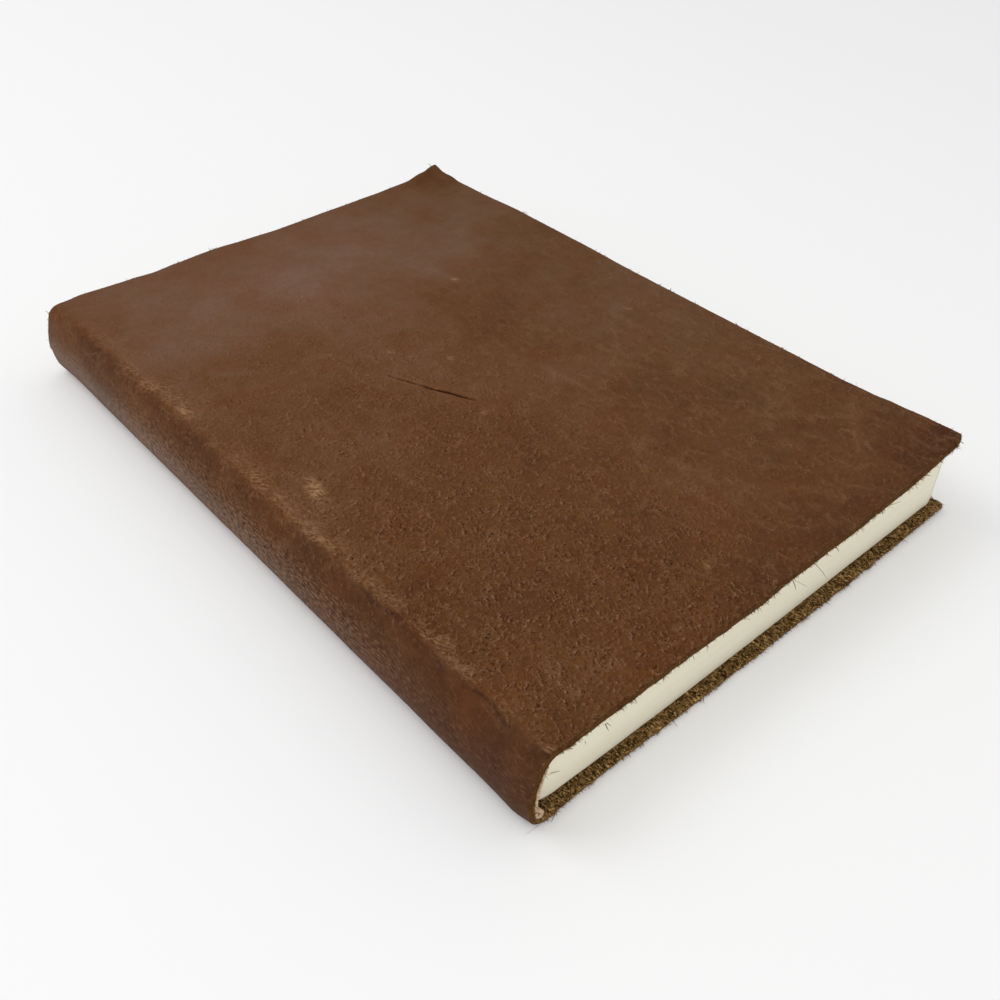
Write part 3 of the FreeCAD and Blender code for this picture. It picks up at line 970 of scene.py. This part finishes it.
def make_pages():
    """The block of pages, with slight steps between its sheets."""
    (_, low_y, low_z), (high_x, high_y, high_z) = pages_low, pages_high
    across = np.linspace(0, 1, 111)
    along = graded((low_y, 0.6), (low_y + 3, 2.4), (high_y - 3, 2.4), (high_y, 0.6))
    up = graded((low_z, 0.15), (low_z + 1, 0.34), (high_z - 1, 0.34), (high_z, 0.15))
    (u, y, z), quads, sides = lattice(across, along, up)
    left = block_side(z)
    lean = 0.3 * fade(0, 60, y - TAIL_Y) + tail_swell(y, z)
    x = left + u * (high_x - left) + lean * fade(0, 0.3, u)
    ends = fade(0, 0.4, high_y - y) - fade(0, 0.4, y - low_y)
    y = y + sheet_steps(z, x, 81) * ends
    x = x + sheet_steps(z, y, 83) * smooth(0.995, 1, u)
    foot = fade(0, 12, y - low_y) * fade(0, 5, z - low_z)
    z = z - curve(foot_sags, x) * foot
    z = z + (0.04 * noise(x, y, 38, 85) - 0.02) * smooth(high_z - 2, high_z, z)
    block = make_object("page_block_dressed", np.stack([x, y, z], 1), quads,
                        (page_paper(), page_edges()), sides == 2, body="pages")
    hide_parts("page_block")


def make_lining():
    """The lining strip: down inside the spine, round a small hook and back up the pages."""
    outside = SPINE_RADIUS - LEATHER - GLUE_GAP
    turn_radius = LINING_HOOK + LINING
    pages_side = BLOCK_HEEL_RADIUS + GLUE_GAP
    turn = lower_meeting(SPINE_CENTRE, outside - turn_radius, BLOCK_HEEL, pages_side + turn_radius)
    turn_start = bearing(SPINE_CENTRE, turn)
    turn_end = bearing(turn, BLOCK_HEEL) + 360
    lip_start = turn_end - 180
    lip_end = lip_start - math.degrees(LINING_LIP / pages_side)
    path = Path(-1, arc(SPINE_CENTRE, outside, SHOULDER_START, turn_start),
                arc(turn, turn_radius, turn_start, turn_end),
                arc(BLOCK_HEEL, pages_side, lip_start, lip_end))
    tail_y = TAIL_Y + 0.2
    columns = graded((0, 0.7), (path.length - 8, 0.5), (path.length - 5, 0.2), (path.length, 0.2))
    rows = graded((tail_y, 0.4), (tail_y + 5, 0.8), (tail_y + 12, 3), (pages_high[1], 3))
    (s, y, w), quads, _ = lattice(columns, rows, np.array([0, 0.5, 1]))
    y = y + 0.12 * noise(s, w, 1.6, 91) * fade(0, 0.6, y - tail_y)
    x, z, normal_x, normal_z = path.at(s)
    depth = w * (LINING + tail_swell(y, z))
    x, z = x - normal_x * depth, z - normal_z * depth
    x = x + spine_shift(z, y)
    uv = np.stack([s, y + UV_SHIFT], 1)
    lining = make_object("spine_lining_dressed", np.stack([x, y, z], 1), quads, (lining_cloth(),),
                         uv=uv, body="pages")
    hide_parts("spine_lining")


# ---------------- fibres

FUZZ_GAP = HINGE_REACH + 0.4  # edge fuzz keeps this far from a hinge line
FUZZ_INSET = 0.12           # fuzz roots lie this far inside a cut edge
TUFTS = 40                  # tufts on each edge
TUFT_SHARE = 0.3            # share of the fibres that grow in tufts
FLOOR_GAP = 0.02            # fibres stay this high above the table
RING_SHARES = (0, 0.4, 0.75)  # places along a fibre of its three rings of three points
FIBRE_POINTS = 10           # the rings' points and the tip

# Long loose fibres, each: x, y, z of its root, its way, length, width, curl
front_hairs = (
    ((4.8, -108.2, 19.9), (-0.1, -1, -0.8), 2.1, 0.22, (-0.2, 0.1, -0.5)),
    ((5.5, -108.2, 19.6), (0.4, -1, -0.3), 3.4, 0.10, (0.6, 0.2, -0.3)),
    ((12.9, -108.2, 20.2), (0.25, -1, -0.6), 5, 0.15, (-0.3, 0.3, -0.6)),
    ((20.8, -108.2, 20.6), (0.25, -1, -0.5), 1.5, 0.24, (-0.2, 0.2, -0.5)),
    ((-1.9, -108.2, 19.7), (-0.2, -0.8, -0.8), 0.9, 0.18, (0, 0.1, -0.2)),
    ((17.3, -108.2, 20.7), (-0.4, -0.6, -0.7), 0.8, 0.16, (0, 0.1, -0.2)),
    ((-5.3, -108.2, 19.8), (-0.1, -0.7, -0.7), 0.7, 0.16, (0, 0.1, -0.1)),
    ((-55.4, -108.2, 19.3), (-0.5, -1, -0.4), 1.1, 0.26, (0.4, -0.3, -0.9)),
    ((-55.1, -108.2, 19.3), (0.3, -1, -0.2), 1, 0.18, (0.2, -0.1, -0.4)),
    ((-61.0, -108.2, 18.6), (-0.2, -0.7, -0.9), 0.7, 0.14, (0, 0, -0.2)),
    ((41.6, -108.2, 21.4), (0.9, -0.5, 0.2), 3.6, 0.14, (0.5, 0.2, -0.1)),
    ((67.5, -108.2, 24.6), (0.3, -0.8, -0.5), 0.8, 0.16, (0.1, 0, -0.1)),
)
page_hairs = (
    ((-66.8, -105.1, 9.9), (1, -0.05, -0.6), 3.4, 0.2, (0, 0, 0.1)),
)
back_hairs = (
    ((-67.9, -108.2, 0.8), (-1, -0.45, -0.25), 2.3, 0.2, (-0.1, 0, 0)),
    ((-72.0, -107.9, 0.3), (-1, 0.05, -0.07), 4, 0.06, (0, 0.1, 0)),
    ((-60.0, -107.9, 0.9), (0.6, -1, 0.1), 0.9, 0.1, (0.3, 0, -0.2)),
    ((-73.3, 107.9, 1.3), (-0.7, 1, 0.1), 1.6, 0.12, (-0.2, 0.1, 0)),
)


def hair_set(hairs, shade):
    """Long fibres of one shade as arrays."""
    columns = [np.array(column, float) for column in zip(*hairs)]
    return columns + [np.full(len(hairs), shade)]


def edge_fibres(rng, path, edge, count, long_share, on_spine=False):
    """Roots, ways, sizes and shades of the fuzz on one cut edge, tail, head or fore, of a
    cover, or of the spine up to that cover's hinge."""
    hinge_s = FRONT_HINGE_S if path.hand > 0 else BACK_HINGE_S
    low, high = (0, hinge_s - FUZZ_GAP) if on_spine else (hinge_s + FUZZ_GAP, path.length)
    if edge == "fore":
        low, high = TAIL_Y, HEAD_Y
    place = rng.uniform(low, high, count)
    tufts = rng.uniform(low, high, TUFTS)
    in_tuft = rng.random(count) < TUFT_SHARE
    place = np.where(in_tuft, rng.choice(tufts, count) + rng.normal(0, 0.5, count), place)
    place = np.clip(place, low, high)
    through = rng.uniform(0.05 if path.hand > 0 else 0.35, 1, count)
    if edge == "tail":
        s, y, out = place, np.full(count, TAIL_Y + FUZZ_INSET), (0, -1, 0)
    elif edge == "head":
        s, y, out = place, np.full(count, HEAD_Y - FUZZ_INSET), (0, 1, 0)
    else:
        s, y, out = np.full(count, path.length - FUZZ_INSET), place, (1, 0, 0)
    roots = wrap(path, s, y, through)
    ways = out + rng.normal(0, 0.55, (count, 3)) + (0, 0, -0.25 * path.hand)
    lengths = rng.gamma(3, 0.09, count) * np.where(in_tuft, 1.6, 0.9) + 0.1
    lengths = np.where(rng.random(count) < long_share, lengths * 2, lengths)
    widths = rng.uniform(0.06, 0.2, count)
    curls = rng.normal(0, 0.16, (count, 3)) * lengths[:, None] * 2
    shades = np.clip(0.2 + 0.45 * through + rng.normal(0, 0.2, count), 0, 1)
    return roots, ways, lengths, widths, curls, shades


def flesh_fibres(rng, count, y_range, s_range, lie):
    """Matted fibres that lie on the back cover's flesh side, mostly along one way."""
    s = rng.uniform(*s_range, count)
    y = rng.uniform(*y_range, count)
    roots = wrap(back_path, s, y, np.ones(count))
    roots[:, 2] += rng.uniform(-0.05, 0.15, count)
    ways = np.array(lie) * rng.choice([-1, 1], count)[:, None] + rng.normal(0, 0.45, (count, 3))
    ways[:, 2] = rng.uniform(-0.05, 0.28, count)
    lengths = rng.uniform(0.4, 1.2, count)
    widths = rng.uniform(0.14, 0.36, count)
    curls = rng.normal(0, 0.3, (count, 3))
    curls[:, 2] = -rng.uniform(0, 0.25, count)
    shades = np.clip(rng.normal(0.42, 0.42, count), 0, 1)
    return roots, ways, lengths, widths, curls, shades


def make_fuzz(name, body, *sets):
    """One mesh of tapered three-sided fibres. Each starts at a root, leaves in its own way and
    bends by its curl."""
    roots, ways, lengths, widths, curls, shades = [np.concatenate(parts) for parts in zip(*sets)]
    ways = ways / np.linalg.norm(ways, axis=1)[:, None]
    aside = np.cross(ways, np.array([0.31, 0.52, 0.79]))
    aside /= np.linalg.norm(aside, axis=1)[:, None]
    over = np.cross(ways, aside)
    rings = []
    for share in RING_SHARES:
        centre = roots + ways * (lengths * share)[:, None] + curls * share ** 2
        radius = (widths / 2 * (1 - 0.5 * share))[:, None]
        for turn in (0, math.radians(120), math.radians(240)):
            rings.append(centre + (aside * math.cos(turn) + over * math.sin(turn)) * radius)
    rings.append(roots + ways * lengths[:, None] + curls)
    points = np.stack(rings, 1).reshape(-1, 3)
    points[:, 2] = np.maximum(points[:, 2], FLOOR_GAP)
    tris = [(0, 2, 1)]
    for ring in (0, 3):
        for side in range(3):
            a, b = ring + side, ring + (side + 1) % 3
            tris += [(a, b, b + 3), (a, b + 3, a + 3)]
    tris += [(6, 7, 9), (7, 8, 9), (8, 6, 9)]
    firsts = FIBRE_POINTS * np.arange(len(roots))
    faces = (np.array(tris)[None] + firsts[:, None, None]).reshape(-1, 3)
    thing = make_object(name, points, faces, (FIBRE,),
                        fields={"shade": np.repeat(shades, FIBRE_POINTS)}, body=body)


def make_fibres():
    """Fuzz on every cut edge, and on the flesh side where it shows."""
    rng = np.random.default_rng(2024)
    fore = back_path.length
    make_fuzz("front_cover_fuzz", "front",
              edge_fibres(rng, front_path, "tail", 2600, 0.05),
              edge_fibres(rng, front_path, "head", 1500, 0.04),
              edge_fibres(rng, front_path, "fore", 1700, 0.03),
              hair_set(front_hairs, 0.3))
    make_fuzz("back_cover_fuzz", "back",
              edge_fibres(rng, back_path, "tail", 2300, 0.04),
              edge_fibres(rng, back_path, "head", 1300, 0.03),
              edge_fibres(rng, back_path, "fore", 1500, 0.03),
              flesh_fibres(rng, 4200, (TAIL_Y + 0.2, pages_low[1] + 0.3),
                           (BACK_HINGE_S + 4, fore - 0.2), (0, 1, 0)),
              flesh_fibres(rng, 900, (TAIL_Y + 3, HEAD_Y - 0.2), (fore - 2.4, fore - 0.2), (1, 0, 0)),
              hair_set(back_hairs, 0.5))
    make_fuzz("spine_fuzz", "pages",
              *[edge_fibres(rng, path, edge, count, 0.03, on_spine=True)
                for path, count in ((front_path, 260), (back_path, 160)) for edge in ("tail", "head")],
              hair_set(page_hairs, 1))


# ---------------- floor, light and camera


def make_floor():
    """A wide pale table top."""
    half = 2500
    points = np.array([(-half, -half, 0), (half, -half, 0), (half, half, 0), (-half, half, 0)])
    material = Finish("pale_table", (246, 246, 246)).done(0.9, 0.05)
    floor = make_object("table_top", points, np.array([(0, 1, 2, 3)]), (material,))


def area_light(name, place, power):
    """A large square lamp at a place in metres, turned to the notebook."""
    data = bpy.data.lights.new(name, "AREA")
    data.shape = "SQUARE"
    data.size = 0.9
    data.energy = power
    turn = Vector(place).to_track_quat("Z", "Y")
    new_object(name, data).matrix_world = Matrix.LocRotScale(Vector(place), turn, None)


def make_light():
    """An even white surround and two soft lamps on the spine's side."""
    world = bpy.data.worlds.new("plain_room")
    bpy.context.scene.world = world
    world.use_nodes = True
    background = world.node_tree.nodes["Background"]
    background.inputs["Color"].default_value = (1, 1, 1, 1)
    background.inputs["Strength"].default_value = 0.72
    area_light("front", (-0.6, -0.65, 1.0), 3.6)
    area_light("back", (-0.55, 0.75, 1.1), 4.8)


def make_camera():
    """Looks down on the notebook from beyond its tail and spine corner."""
    place = Vector((-0.15978, -0.19266, 0.19255))
    heading, tilt, roll = math.radians(-41.79), math.radians(49.05), math.radians(0.85)
    turn = (Matrix.Rotation(heading, 3, "Z") @ Matrix.Rotation(tilt, 3, "X")
            @ Matrix.Rotation(roll, 3, "Z"))
    data = bpy.data.cameras.new("camera")
    data.lens = 38.83
    data.sensor_width = 36
    data.clip_start, data.clip_end = 0.01, 20
    camera = new_object("camera", data)
    camera.matrix_world = Matrix.LocRotScale(place, turn, None)
    bpy.context.scene.camera = camera


make_leather()
make_pages()
make_lining()
make_fibres()
make_floor()
make_light()
make_camera()
bpy.context.scene.view_settings.view_transform = "Standard"
